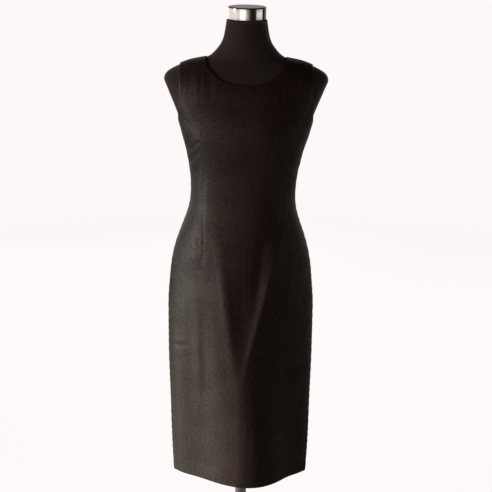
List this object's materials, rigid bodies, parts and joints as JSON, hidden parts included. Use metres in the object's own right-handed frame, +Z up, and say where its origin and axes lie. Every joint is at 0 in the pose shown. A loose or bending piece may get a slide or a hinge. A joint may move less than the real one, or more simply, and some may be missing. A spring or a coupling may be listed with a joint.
{
  "type": "sheath dress on a dress form",
  "caption": "Sleeveless knee-length sheath dress of dark slubbed silk with a shallow scoop neck, on a limbless jersey-covered dress form with a chrome neck cap and a round stand.",
  "frame": {"origin": "on the floor under the centre of the stand's base", "axes": "+Z up, the front of the dress faces -Y, its wearer's left is +X"},
  "size_m": [0.4022, 0.36, 1.5478],
  "materials": {
    "slub_silk": "slubbed silk with a low sheen",
    "zip_metal": "dark enamel",
    "form_jersey": "matte black jersey",
    "cap_chrome": "polished",
    "stand_black": "satin black",
    "pole_chrome": "polished"
  },
  "bodies": {
    "dressed_form": {"front_panel": "slub_silk", "back_left_panel": "slub_silk", "back_right_panel": "slub_silk", "zip_slider": "zip_metal", "form_body": "form_jersey", "neck_cap": "cap_chrome", "form_socket": "stand_black", "stand_pole": "pole_chrome", "stand_base": "stand_black"},
    "zip_pull": {"zip_pull": "zip_metal"}
  },
  "joints": [
    {"name": "zip_pull_hinge", "type": "hinge", "parent": "dressed_form", "child": "zip_pull", "pos_m": [0, 0.09394, 1.38637], "axis": [1, 0, 0], "range_deg": [0, 150]}
  ]
}
